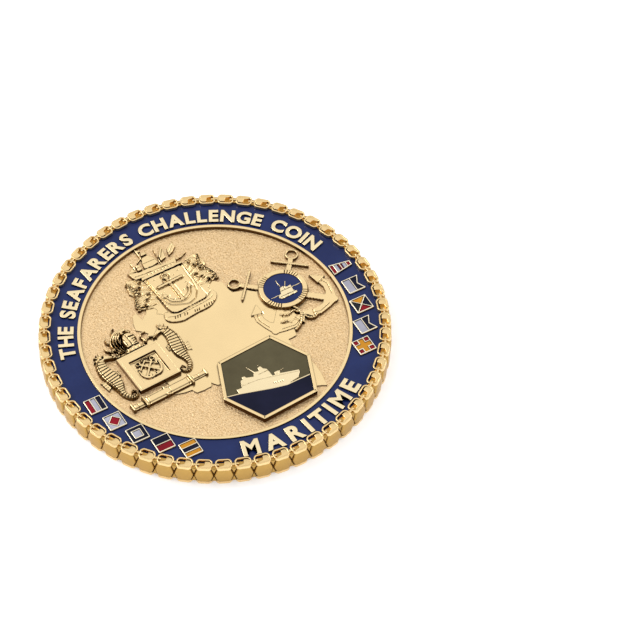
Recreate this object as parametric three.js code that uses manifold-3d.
// A two-sided challenge coin. A cast body with a chain edge carries soft enamel on both faces, signal
// flags on its obverse band, emblems soldered to the obverse, and a sea scene applied to the reverse.
// Millimetres. Z is the coin's axis, the obverse faces +Z, and the coin rests on its reverse rim at z = 0.
import * as THREE from "three";
import { mergeVertices } from "three/addons/utils/BufferGeometryUtils.js";
import Module from "manifold-3d";

const wasm = await Module();
wasm.setup();
const { Manifold, Mesh } = wasm;

// ---------------------------------------------------------------- driving dimensions
const COIN_RADIUS = 25.4; // a two-inch coin, over the links
const THICKNESS = 3.5;
const LINKS = 56;

const FIELD_RADIUS = 19.3; // inside of the raised border
const BORDER_RADIUS = 19.8; // outside of the raised border
const BAND_RADIUS = 23.45; // outside of the enamel band
const CORE_RADIUS = 24.2; // the solid ring that the links stand on

// Heights above the rest plane, for whichever face is uppermost.
const BAND_FLOOR = 2.55;
const FIELD_TOP = 2.65; // sandblasted field of the obverse
const MAP_TOP = 2.85; // polished map plateau, and the seats of the emblems
const ENAMEL_TOP = 2.87;
const LEDGE_TOP = 3.1; // top of the ring, seen between the links
const RELIEF_TOP = 3.15; // border, dividing lines and flag frames
const SUNK = 0.2; // how far a relief of the body starts below the floor that it stands on
const GAP = 0.02; // left beside each piece that is set into another

const LINK_LENGTH = 2.05; // along the edge, at the face
const LINK_MIDDLE = 2.7; // along the edge, at mid-thickness
const LINK_WIDTH = 1.8; // across the edge
const LINK_CORNER = 0.45;
const LINK_HOLE = { length: 0.95, width: 0.6, depth: 0.45 };

const FLAG_RADIUS = 21.6;
const FLAG_SIZE = 2.7;
const FRAME_LINE = 0.2; // gold line round and between enamel cells
const CELL_FLOOR = 2.8;
const CELL_TOP = 3.08;
const CELL_LOOSE = 0.03; // how much smaller a fill is than its cell, as a share of its size
const LEFT_FLAGS = { from: 190, step: 10.6, count: 5 };
const RIGHT_FLAGS = { from: 3.4, step: -10.2 };
const SMALL_FLAGS = { scale: 0.52, apart: 0.95, turn: 28, at: { right: 0, left: 180 } };

const SHIELD = { x: -1.6, y: 11.0, turn: 0, shield: 3.2, mantle: 3.05, hull: 3.15, ribbon: 3.25 };
const CREST = { x: -11.6, y: -1.5, turn: 3, side: 7.2, window: 4.4, windowFloor: 3.05 };
const CREST_TOPS = { frame: 3.25, seahorse: 3.15, helmet: 3.2, telescope: 3.3 };
const TELESCOPE = { y: -5.1, length: 12.2, width: 1.5 };
const BUOY = { x: 12.0, y: 1.3, turn: 8, outer: 3.45, inner: 2.55, boatScale: 0.34 };
const BUOY_HEIGHTS = { floor: 3.12, enamel: 3.3, boat: 3.38, top: 3.45 };
const ANCHOR = { head: 8.0, foot: 7.6, shank: 0.75, stock: 4.4, bar: 0.5, turn: 42, top: 3.0 };
const ANCHOR_EYE = { outer: 1.05, inner: 0.5 };
const ANCHOR_ARM = { radius: 4.4, reach: 60, steps: 8 };
const PLAQUE = { x: 2.3, y: -11.5, turn: 4.5, side: 7.4, edge: 4.55, height: 6.2, rim: 0.55, horizon: -0.9 };
const PLAQUE_HEIGHTS = { floor: 3.05, enamel: 3.3, relief: 3.42, top: 3.46 };

const SCENE_TOP = 3.3; // figure, trident and ship
const SEA_TOP = 2.95;
const SEA_LINE = -12.5;
const UPPER_LINE = 5.0; // between the yellow and blue fields
const LOWER_LINE = -5.2; // between the blue and red fields
const SCENE_LINE = 0.25;

// ---------------------------------------------------------------- materials
const gold = (roughness) =>
  new THREE.MeshStandardMaterial({ color: 0xe3bf74, roughness, metalness: 1 });
const enamel = (color) => new THREE.MeshStandardMaterial({ color, roughness: 0.25, metalness: 0 });
const POLISHED_GOLD = gold(0.22);
const SATIN_GOLD = gold(0.38);
const ENAMELS = {
  blue: enamel(0x26356f),
  navy: enamel(0x23254a),
  olive: enamel(0x5f5539),
  yellow: enamel(0xedb23c),
  red: enamel(0xb51e32),
  white: enamel(0xcfd0da),
  black: enamel(0x17171f),
};

// ---------------------------------------------------------------- outlines
const degrees = (angle) => (angle * Math.PI) / 180;
const polar = (radius, angle) => [
  radius * Math.cos(degrees(angle)),
  radius * Math.sin(degrees(angle)),
];

const rectangle = (left, bottom, right, top) => [
  [left, bottom],
  [right, bottom],
  [right, top],
  [left, top],
];
const box = (width, height) => rectangle(-width / 2, -height / 2, width / 2, height / 2);
const rhombus = (reach) => [[0, -reach], [reach, 0], [0, reach], [-reach, 0]];
const mirrored = (outline) => outline.map(([u, v]) => [-u, v]).reverse();

function placed(outline, x, y, angle = 0, scale = 1) {
  const [c, s] = polar(scale, angle);
  return outline.map(([u, v]) => [x + u * c - v * s, y + u * s + v * c]);
}

// An outline at another size about the middle of its corners.
function resized(outline, factor) {
  const mean = (axis) => outline.reduce((sum, point) => sum + point[axis], 0) / outline.length;
  const [x, y] = [mean(0), mean(1)];
  return outline.map(([u, v]) => [x + (u - x) * factor, y + (v - y) * factor]);
}

// A strip of one width along an arc about the origin.
function arcStrip(radius, width, from, to, steps) {
  const angleAt = (i) => from + ((to - from) * i) / steps;
  const edge = (r) => Array.from({ length: steps + 1 }, (_, i) => polar(r, angleAt(i)));
  return [...edge(radius + width / 2), ...edge(radius - width / 2).reverse()];
}

// ---------------------------------------------------------------- solids
const MERGE_DISTANCE = 1e-5;

function solidOf(geometry) {
  const bare = geometry.clone();
  for (const name of ["normal", "uv"]) bare.deleteAttribute(name);
  const merged = mergeVertices(bare, MERGE_DISTANCE);
  return new Manifold(
    new Mesh({
      numProp: 3,
      vertProperties: new Float32Array(merged.attributes.position.array),
      triVerts: new Uint32Array(merged.index.array),
    }),
  );
}

function meshOf(name, solid, material) {
  const { numProp, numVert, vertProperties, triVerts } = solid.getMesh();
  const positions = new Float32Array(numVert * 3);
  for (let i = 0; i < numVert; i++)
    positions.set(vertProperties.subarray(i * numProp, i * numProp + 3), i * 3);
  const geometry = new THREE.BufferGeometry();
  geometry.setAttribute("position", new THREE.BufferAttribute(positions, 3));
  geometry.setIndex(new THREE.BufferAttribute(new Uint32Array(triVerts), 1));
  geometry.computeVertexNormals();
  const mesh = new THREE.Mesh(geometry, material);
  mesh.name = name;
  return mesh;
}

// A straight-sided solid over an outline, from one height to another.
function prism(outline, bottom, top) {
  const shape = new THREE.Shape(outline.map(([x, y]) => new THREE.Vector2(x, y)));
  const geometry = new THREE.ExtrudeGeometry(shape, { depth: top - bottom, bevelEnabled: false });
  return solidOf(geometry.translate(0, 0, bottom));
}

const disc = (x, y, radius, bottom, top, sides = 32) =>
  solidOf(
    new THREE.CylinderGeometry(radius, radius, top - bottom, sides)
      .rotateX(Math.PI / 2)
      .translate(x, y, (bottom + top) / 2),
  );

// A solid of revolution about Z from a closed profile of [radius, height], counter-clockwise.
function revolved(profile, sides) {
  const points = [...profile, profile[0]].map(([r, z]) => new THREE.Vector2(r, z));
  return solidOf(new THREE.LatheGeometry(points, sides).rotateX(Math.PI / 2));
}

const unite = (solids) => Manifold.union(solids);

// A solid grown sideways by the gap, to cut the seat of a piece.
const seatOf = (solid) =>
  unite(box(2 * GAP, 2 * GAP).map(([x, y]) => solid.translate([x, y, 0])));

// Designs for the reverse are drawn face up, then turned over about the Y axis.
const turnedOver = (solid) => solid.rotate([0, 180, 0]).translate([0, 0, THICKNESS]);

// Everything inside the border, and the ground below the emblems' seats.
const inBorder = disc(0, 0, FIELD_RADIUS - GAP, 0, THICKNESS, LINKS);
const ground = prism(box(2 * COIN_RADIUS, 2 * COIN_RADIUS), 0, MAP_TOP);

// ---------------------------------------------------------------- signal flags
// A flag is a raised block with enamel cells sunk in it. A cell is [colour, outline, hole outline].
const HALF = FLAG_SIZE / 2 - FRAME_LINE; // from a flag's middle to the edge of its cells
const NOTCH = 0.62; // depth of a swallowtail's notch
const DIAMOND = 0.85;
const CENTRE = 1.1;
const CORNER = 0.6;
const CROSS_ARM = 0.35;
const HOIST_CELL = 0.1; // from the middle of a swallowtail to each of its two cells
const FLY_INSET = 0.12;
const PENNANT = { length: 3.3, hoist: 2.0, fly: 0.9 };

const squareBlock = box(FLAG_SIZE, FLAG_SIZE);
const wholeCell = box(2 * HALF, 2 * HALF);
const swallowtail = (half) => [
  [-half, -half],
  [half, -half],
  [half - NOTCH, 0],
  [half, half],
  [-half, half],
];

function upright(colours) {
  const pitch = (2 * HALF + FRAME_LINE) / colours.length;
  return colours.map((colour, i) => {
    const left = -HALF + i * pitch;
    return [colour, rectangle(left, -HALF, left + pitch - FRAME_LINE, HALF)];
  });
}
const level = (colours) =>
  upright(colours).map(([colour, outline]) => [colour, placed(outline, 0, 0, 90)]);

// Four triangles that meet at the middle, counter-clockwise from the fly.
const quarters = (colours) =>
  colours.map((colour, i) => {
    const inset = HALF - FRAME_LINE;
    return [colour, placed([[FRAME_LINE, 0], [HALF, -inset], [HALF, inset]], 0, 0, i * 90)];
  });

function crossCells() {
  const [a, b] = [CROSS_ARM, HALF];
  const quadrant = [[b, -a], [b, a], [a, a]];
  const cross = [0, 90, 180, 270].flatMap((turn) => placed(quadrant, 0, 0, turn));
  const corners = box(2 * HALF - CORNER, 2 * HALF - CORNER);
  return [["yellow", cross], ...corners.map(([u, v]) => ["red", placed(box(CORNER, CORNER), u, v)])];
}

function tailCells() {
  const fly = HALF - FLY_INSET;
  const tail = [[HOIST_CELL, -HALF], [fly, -HALF], [fly - NOTCH, 0], [fly, HALF], [HOIST_CELL, HALF]];
  return [["white", rectangle(-HALF, -HALF, -HOIST_CELL, HALF)], ["navy", tail]];
}

const pennantHalf = (u) =>
  (PENNANT.hoist + (PENNANT.fly - PENNANT.hoist) * (u / PENNANT.length + 0.5)) / 2;
function pennantStrip(from, to, inset) {
  const [a, b] = [pennantHalf(from) - inset, pennantHalf(to) - inset];
  return [[from, -a], [to, -b], [to, b], [from, a]];
}
function pennantCells(colours) {
  const inner = PENNANT.length - 2 * FRAME_LINE;
  const pitch = (inner + FRAME_LINE) / colours.length;
  return colours.map((colour, i) => {
    const from = i * pitch - inner / 2;
    return [colour, pennantStrip(from, from + pitch - FRAME_LINE, FRAME_LINE)];
  });
}

const FLAGS = [
  { name: "tricolour_flag", block: squareBlock, cells: upright(["red", "white", "navy"]) },
  {
    name: "diamond_flag",
    block: squareBlock,
    cells: [["white", wholeCell, rhombus(DIAMOND + FRAME_LINE)], ["red", rhombus(DIAMOND)]],
  },
  {
    name: "square_flag",
    block: squareBlock,
    cells: [
      ["navy", wholeCell, box(CENTRE + 2 * FRAME_LINE, CENTRE + 2 * FRAME_LINE)],
      ["white", box(CENTRE, CENTRE)],
    ],
  },
  { name: "two_band_flag", block: squareBlock, cells: level(["red", "navy"]) },
  { name: "three_band_flag", block: squareBlock, cells: level(["yellow", "navy", "yellow"]) },
  {
    name: "pennant",
    block: pennantStrip(-PENNANT.length / 2, PENNANT.length / 2, 0),
    cells: pennantCells(["red", "white", "red", "white", "red"]),
  },
  { name: "upper_swallowtail", block: swallowtail(FLAG_SIZE / 2), cells: tailCells() },
  { name: "quartered_flag", block: squareBlock, cells: quarters(["navy", "yellow", "black", "red"]) },
  { name: "lower_swallowtail", block: swallowtail(FLAG_SIZE / 2), cells: tailCells() },
  { name: "cross_flag", block: squareBlock, cells: crossCells() },
];
const SMALL_PAIR = [
  {
    name: "small_red_flag",
    side: -1,
    block: mirrored(swallowtail(FLAG_SIZE / 2)),
    cells: [["red", mirrored(swallowtail(HALF - FRAME_LINE / 2))]],
  },
  {
    name: "small_quartered_flag",
    side: 1,
    block: squareBlock,
    cells: quarters(["yellow", "black", "red", "navy"]),
  },
];

// The corners of a flag stop just short of the band's edges.
const FLAG_MARGIN = FRAME_LINE / 2;
const flagRing = disc(0, 0, BAND_RADIUS - FLAG_MARGIN, 0, THICKNESS, LINKS).subtract(
  disc(0, 0, BORDER_RADIUS + FLAG_MARGIN, -1, THICKNESS + 1, LINKS),
);

// The body's block for a flag, and the pocket and the enamel fill of each of its cells.
function flagSolids(flag, x, y, turn = 0, scale = 1, prefix = "") {
  const outline = (points) => placed(points, x, y, turn, scale);
  const block = prism(outline(flag.block), BAND_FLOOR - SUNK, RELIEF_TOP).intersect(flagRing);
  const cells = flag.cells.map(([colour, points, hole], i) => {
    const sunk = (top, loose) => {
      const solid = prism(outline(resized(points, 1 - loose)), CELL_FLOOR, top);
      return hole ? solid.subtract(prism(outline(resized(hole, 1 + loose)), 0, top + 1)) : solid;
    };
    const name = `${prefix}${flag.name}_${colour}_${i + 1}`;
    return { name, colour, pocket: sunk(THICKNESS, 0), fill: sunk(CELL_TOP, CELL_LOOSE) };
  });
  return { block, cells };
}

function obverseFlags() {
  return FLAGS.map((flag, i) => {
    const right = i - LEFT_FLAGS.count;
    const angle =
      right < 0 ? LEFT_FLAGS.from + i * LEFT_FLAGS.step : RIGHT_FLAGS.from + right * RIGHT_FLAGS.step;
    return flagSolids(flag, ...polar(FLAG_RADIUS, angle));
  });
}

// Two small crossed flags at each side of the reverse band.
function reverseFlags() {
  const { scale, apart, turn, at } = SMALL_FLAGS;
  return Object.entries(at).flatMap(([side, angle]) => {
    const [x, y] = polar(FLAG_RADIUS, angle);
    return SMALL_PAIR.map((flag) =>
      flagSolids(flag, x + flag.side * apart, y, -flag.side * turn, scale, `${side}_`),
    );
  });
}

// ---------------------------------------------------------------- emblems of the obverse
// Outlines are drawn about the middle of each emblem. Solids start at the field, and the part of
// them below the map's height is the seat that the body gives the emblem.
const shieldOutline = [
  [-2.9, 3.1], [-2.9, -2.0], [-1.9, -3.9], [0, -4.7], [1.9, -3.9], [2.9, -2.0], [2.9, 3.1],
];
const mantleOutline = [
  [1.6, 3.4], [2.2, -2.6], [3.6, -3.2], [5.2, -2.2], [5.0, -0.6], [6.2, 0.4], [5.3, 1.7],
  [6.1, 3.0], [5.0, 5.2], [3.6, 5.4],
];
const sailingShipOutline = [
  [-3.0, 2.8], [2.6, 2.8], [3.0, 4.2], [1.9, 4.9], [2.2, 6.4], [0.6, 7.4], [-2.0, 6.9],
  [-1.6, 5.2], [-3.2, 4.9], [-2.4, 4.0],
];
const ribbonOutline = [
  [-5.2, -4.6], [-4.6, -5.9], [-2.4, -6.5], [0, -6.8], [2.4, -6.5], [4.6, -5.9],
  [5.2, -4.6], [4.2, -3.4], [2.6, -4.2], [0, -4.4], [-2.6, -4.2], [-4.2, -3.4],
];
const seahorseOutline = [
  [3.3, 3.6], [3.3, -3.2], [4.6, -4.4], [6.2, -3.6], [6.9, -1.2], [6.3, 0.2], [6.6, 2.6],
  [5.4, 5.0], [4.4, 5.4],
];
const helmetOutline = [
  [-2.2, 3.2], [1.5, 3.2], [2.0, 4.6], [1.8, 6.4], [0.2, 7.6], [-1.7, 6.6], [-2.9, 4.8],
];
const flukeOutline = [[-1.0, -0.4], [1.0, -0.4], [0.2, 1.5]];
const patrolBoatOutline = [
  [-4.9, -1.0], [-3.5, -1.7], [3.6, -1.5], [5.0, -0.3], [5.4, 0.9], [3.0, 1.1], [1.2, 1.4],
  [0.5, 2.4], [-1.5, 2.3], [-2.0, 1.3], [-3.4, 1.3], [-3.6, 0.6], [-4.6, 0.5],
];
const mapOutline = [
  [-9.6, 8.4], [-9.0, 3.2], [-10.4, -1.0], [-10.6, -7.4], [-6.6, -7.6], [-5.4, -8.0],
  [-3.2, -8.4], [4.0, -14.5], [10.6, -11.4], [12.5, -8.0], [10.4, -6.4], [9.8, -4.6],
  [11.5, 0.5], [8.4, 4.0], [7.4, 9.4], [3.5, 13.2], [-2.0, 12.5], [-6.2, 9.6],
];

const onEmblem = ({ x, y, turn }, outline, top, bottom = FIELD_TOP) =>
  prism(placed(outline, x, y, turn), bottom, top);

const shieldSolid = () =>
  unite([
    onEmblem(SHIELD, shieldOutline, SHIELD.shield),
    onEmblem(SHIELD, mantleOutline, SHIELD.mantle),
    onEmblem(SHIELD, mirrored(mantleOutline), SHIELD.mantle),
    onEmblem(SHIELD, sailingShipOutline, SHIELD.hull),
    onEmblem(SHIELD, ribbonOutline, SHIELD.ribbon),
  ]);

const crestSolid = () =>
  unite([
    onEmblem(CREST, box(CREST.side, CREST.side), CREST_TOPS.frame),
    onEmblem(CREST, seahorseOutline, CREST_TOPS.seahorse),
    onEmblem(CREST, mirrored(seahorseOutline), CREST_TOPS.seahorse),
    onEmblem(CREST, helmetOutline, CREST_TOPS.helmet),
    onEmblem(CREST, placed(box(TELESCOPE.length, TELESCOPE.width), 0, TELESCOPE.y), CREST_TOPS.telescope),
  ])
    .subtract(onEmblem(CREST, box(CREST.window, CREST.window), THICKNESS, CREST.windowFloor))
    .intersect(inBorder);

// An anchor along Y about the buoy's middle, eye up and crown down, then turned.
function anchorSolid(turn) {
  const { head, foot, shank, stock, top } = ANCHOR;
  const { radius, reach, steps } = ANCHOR_ARM;
  const eyeY = head - ANCHOR_EYE.outer;
  const stockY = eyeY - 2 * ANCHOR_EYE.outer;
  const crownY = radius - foot;
  const part = (outline) => prism(outline, FIELD_TOP, top);
  const solids = [
    part(rectangle(-shank / 2, -foot, shank / 2, eyeY - ANCHOR_EYE.inner)),
    part(placed(box(stock, ANCHOR.bar), 0, stockY)),
    part(placed(arcStrip(radius, shank, 270 - reach, 270 + reach, steps), 0, crownY)),
    disc(0, eyeY, ANCHOR_EYE.outer, FIELD_TOP, top, 12).subtract(
      disc(0, eyeY, ANCHOR_EYE.inner, 0, THICKNESS, 12),
    ),
  ];
  for (const side of [-1, 1]) {
    const [x, y] = polar(radius, 270 + side * reach);
    const fluke = side < 0 ? mirrored(flukeOutline) : flukeOutline;
    solids.push(part(placed(fluke, x, y + crownY, side * (reach - 10))));
  }
  return unite(solids).rotate([0, 0, turn]).translate([BUOY.x, BUOY.y, 0]);
}
const anchorsSolid = () =>
  unite([anchorSolid(ANCHOR.turn), anchorSolid(-ANCHOR.turn)]).intersect(inBorder);

function buoySolids() {
  const { x, y, turn, outer, inner, boatScale } = BUOY;
  const { floor, enamel: fillTop, boat: boatTop, top } = BUOY_HEIGHTS;
  const boat = prism(placed(patrolBoatOutline, x, y, turn, boatScale), ANCHOR.top + GAP, boatTop);
  const ring = disc(x, y, outer, ANCHOR.top, top).subtract(disc(x, y, inner, floor, THICKNESS));
  return { ring: ring.add(boat), fill: disc(x, y, inner - GAP, floor, fillTop).subtract(seatOf(boat)) };
}

// The plaque is a hexagon with level upper and lower edges, a sky and a sea.
function plaqueSolids() {
  const { floor, enamel: fillTop, relief, top } = PLAQUE_HEIGHTS;
  const { side, height, horizon, rim } = PLAQUE;
  const hexagon = (inset) => {
    const [half, edge, rise] = [side - inset * 1.15, PLAQUE.edge - inset * 0.55, height - inset];
    return [[half, 0], [edge, rise], [-edge, rise], [-half, 0], [-edge, -rise], [edge, -rise]];
  };
  const line = rectangle(-side, horizon - FRAME_LINE / 2, side, horizon + FRAME_LINE / 2);
  const boat = onEmblem(PLAQUE, patrolBoatOutline, relief, floor - SUNK);
  const waterline = onEmblem(PLAQUE, line, relief, floor - SUNK).intersect(
    onEmblem(PLAQUE, hexagon(rim / 2), THICKNESS),
  );
  const frame = onEmblem(PLAQUE, hexagon(0), top).subtract(
    onEmblem(PLAQUE, hexagon(rim), THICKNESS, floor),
  );
  const fill = onEmblem(PLAQUE, hexagon(rim + GAP), fillTop, floor).subtract(
    seatOf(unite([boat, waterline])),
  );
  const above = onEmblem(PLAQUE, rectangle(-side, horizon, side, height), THICKNESS);
  return { frame: unite([frame, boat, waterline]), sky: fill.intersect(above), water: fill.subtract(above) };
}

// ---------------------------------------------------------------- scene of the reverse
const figureOutline = [
  [-12.9, 12.7], [-11.8, 9.0], [-10.2, 6.0], [-9.6, 2.4], [-10.9, -2.0], [-10.4, -6.8],
  [2.2, -6.8], [3.4, -5.2], [3.0, -3.6], [0.6, -2.4], [-0.9, -2.3], [-0.2, 0.3], [0.8, 1.2],
  [-0.5, 3.6], [-1.3, 7.0], [-3.2, 10.4], [-3.9, 13.0], [-3.2, 14.2], [-3.5, 15.5],
  [-4.6, 16.2], [-4.9, 17.6], [-6.4, 16.4], [-7.2, 17.5], [-7.6, 15.9], [-8.4, 16.0],
  [-10.6, 15.0],
];
const tridentOutline = [
  [2.7, -3.4], [3.5, -3.5], [5.9, 6.6], [7.6, 7.2], [9.9, 7.6], [10.0, 10.8], [9.2, 14.8],
  [8.6, 11.2], [7.4, 9.4], [6.7, 9.6], [7.0, 12.0], [7.9, 13.6], [7.1, 16.5], [5.9, 13.4],
  [6.0, 11.6], [5.2, 9.4], [4.4, 9.6], [3.8, 11.8], [4.7, 15.5], [2.8, 12.6], [1.9, 9.4],
  [2.6, 7.6], [4.3, 7.0], [4.9, 6.4],
];
const patrolShipOutline = [
  [-17.2, -8.6], [-15.8, -11.0], [-14.6, -12.7], [-3.0, -13.0], [12.0, -12.9], [14.2, -11.6],
  [16.4, -9.4], [10.5, -8.0], [5.8, -7.4], [3.9, -6.6], [-11.8, -6.6], [-12.5, -8.2],
];

// The whole width of the coin between two levels of the scene.
const strip = (low, high, bottom, top) =>
  prism(rectangle(-COIN_RADIUS, low, COIN_RADIUS, high), bottom, top);

function sceneSolids() {
  const applied = (outline) => prism(outline, BAND_FLOOR, SCENE_TOP).intersect(inBorder);
  const figure = applied(figureOutline);
  const trident = applied(tridentOutline).subtract(seatOf(figure));
  const ship = applied(patrolShipOutline).subtract(seatOf(figure));
  const pieces = unite([figure, trident, ship]);
  const line = (v) => strip(v - SCENE_LINE / 2, v + SCENE_LINE / 2, BAND_FLOOR - SUNK, RELIEF_TOP);
  const sea = strip(-COIN_RADIUS, SEA_LINE, BAND_FLOOR - SUNK, SEA_TOP);
  const cast = unite([sea, line(UPPER_LINE), line(LOWER_LINE)])
    .intersect(disc(0, 0, FIELD_RADIUS, 0, THICKNESS, LINKS))
    .subtract(seatOf(pieces));
  return { figure, trident, ship, cast, relief: seatOf(unite([pieces, cast])) };
}

// The enamel between two levels of the scene, as the separate pools that the relief leaves.
const pools = (low, high, relief) =>
  strip(low, high, BAND_FLOOR, ENAMEL_TOP).intersect(inBorder).subtract(relief).decompose();

// ---------------------------------------------------------------- the body
// The steps of one face from the field out to the ledge under the links.
const faceSteps = (field) => [
  [FIELD_RADIUS, field],
  [FIELD_RADIUS, RELIEF_TOP],
  [BORDER_RADIUS, RELIEF_TOP],
  [BORDER_RADIUS, BAND_FLOOR],
  [BAND_RADIUS, BAND_FLOOR],
  [BAND_RADIUS, LEDGE_TOP],
  [CORE_RADIUS, LEDGE_TOP],
];

function coreSolid() {
  const upper = faceSteps(FIELD_TOP).reverse();
  const lower = faceSteps(BAND_FLOOR).map(([r, z]) => [r, THICKNESS - z]);
  return revolved([[0, THICKNESS - BAND_FLOOR], ...lower, ...upper, [0, FIELD_TOP]], LINKS);
}

// A link is a barrel across the edge, narrow at both faces and widest at mid-thickness, with a
// pocket in each face.
function linkSolid() {
  const [face, middle, inner] = [LINK_LENGTH / 2, LINK_MIDDLE / 2, COIN_RADIUS - LINK_WIDTH];
  const side = [
    [-face, 0],
    [face, 0],
    [middle, THICKNESS / 2],
    [face, THICKNESS],
    [-face, THICKNESS],
    [-middle, THICKNESS / 2],
  ];
  const plan = [
    [inner, -face + LINK_CORNER],
    [inner + LINK_CORNER, -middle],
    [COIN_RADIUS - LINK_CORNER / 2, -middle],
    [COIN_RADIUS, -face + LINK_CORNER],
    [COIN_RADIUS, face - LINK_CORNER],
    [COIN_RADIUS - LINK_CORNER / 2, middle],
    [inner + LINK_CORNER, middle],
    [inner, face - LINK_CORNER],
  ];
  const { length, width, depth } = LINK_HOLE;
  const opening = placed(box(width, length), COIN_RADIUS - LINK_WIDTH / 2, 0);
  return prism(side, inner, COIN_RADIUS)
    .rotate([90, 0, 90])
    .intersect(prism(plan, -1, THICKNESS + 1))
    .subtract(prism(opening, THICKNESS - depth, THICKNESS + 1))
    .subtract(prism(opening, -1, depth));
}

function chainSolid() {
  const link = linkSolid();
  return unite(Array.from({ length: LINKS }, (_, i) => link.rotate([0, 0, (360 * i) / LINKS])));
}

// The enamel of a band runs on round the corners of its flags, so it stays in one piece.
function bandEnamel(blocks) {
  const [inner, outer] = [BORDER_RADIUS + GAP, BAND_RADIUS - GAP];
  const section = [[inner, BAND_FLOOR], [outer, BAND_FLOOR], [outer, ENAMEL_TOP], [inner, ENAMEL_TOP]];
  return revolved(section, LINKS).subtract(seatOf(unite(blocks)));
}

// ---------------------------------------------------------------- assembly
const coin = new THREE.Group();
const add = (name, solid, material) => coin.add(meshOf(name, solid, material));

const flags = { obverse: obverseFlags(), reverse: reverseFlags() };
const blocksOf = (list) => list.map((flag) => flag.block);
const cellsOf = (list) => list.flatMap((flag) => flag.cells);
const pocketsOf = (list) => unite(cellsOf(list).map((cell) => cell.pocket));

const emblems = { shield: shieldSolid(), crest: crestSolid(), anchors: anchorsSolid() };
const plaque = plaqueSolids();
const buoy = buoySolids();
const seats = [...Object.values(emblems), plaque.frame].map((emblem) => emblem.intersect(ground));
const scene = sceneSolids();

const body = unite([
  coreSolid(),
  chainSolid(),
  prism(mapOutline, FIELD_TOP - SUNK, MAP_TOP),
  ...seats,
  ...blocksOf(flags.obverse),
  turnedOver(unite([scene.cast, ...blocksOf(flags.reverse)])),
])
  .subtract(pocketsOf(flags.obverse))
  .subtract(turnedOver(pocketsOf(flags.reverse)));
add("coin_body", body, SATIN_GOLD);

add("obverse_band_enamel", bandEnamel(blocksOf(flags.obverse)), ENAMELS.blue);
for (const cell of cellsOf(flags.obverse)) add(cell.name, cell.fill, ENAMELS[cell.colour]);
add("shield_badge", emblems.shield.subtract(ground), POLISHED_GOLD);
add("seahorse_badge", emblems.crest.subtract(ground), POLISHED_GOLD);
add("crossed_anchors", emblems.anchors.subtract(ground), POLISHED_GOLD);
add("lifebuoy", buoy.ring, POLISHED_GOLD);
add("lifebuoy_enamel", buoy.fill, ENAMELS.blue);
add("hexagon_plaque", plaque.frame.subtract(ground), POLISHED_GOLD);
add("plaque_sky_enamel", plaque.sky, ENAMELS.olive);
add("plaque_water_enamel", plaque.water, ENAMELS.navy);

add("reverse_band_enamel", turnedOver(bandEnamel(blocksOf(flags.reverse))), ENAMELS.blue);
for (const cell of cellsOf(flags.reverse)) add(cell.name, turnedOver(cell.fill), ENAMELS[cell.colour]);
add("sea_king_figure", turnedOver(scene.figure), POLISHED_GOLD);
add("trident", turnedOver(scene.trident), POLISHED_GOLD);
add("patrol_ship", turnedOver(scene.ship), POLISHED_GOLD);
const FIELDS = [
  ["yellow", UPPER_LINE, COIN_RADIUS],
  ["blue", LOWER_LINE, UPPER_LINE],
  ["red", SEA_LINE, LOWER_LINE],
];
for (const [colour, low, high] of FIELDS)
  pools(low, high, scene.relief).forEach((pool, i) =>
    add(`${colour}_field_${i + 1}`, turnedOver(pool), ENAMELS[colour]),
  );

export default coin;
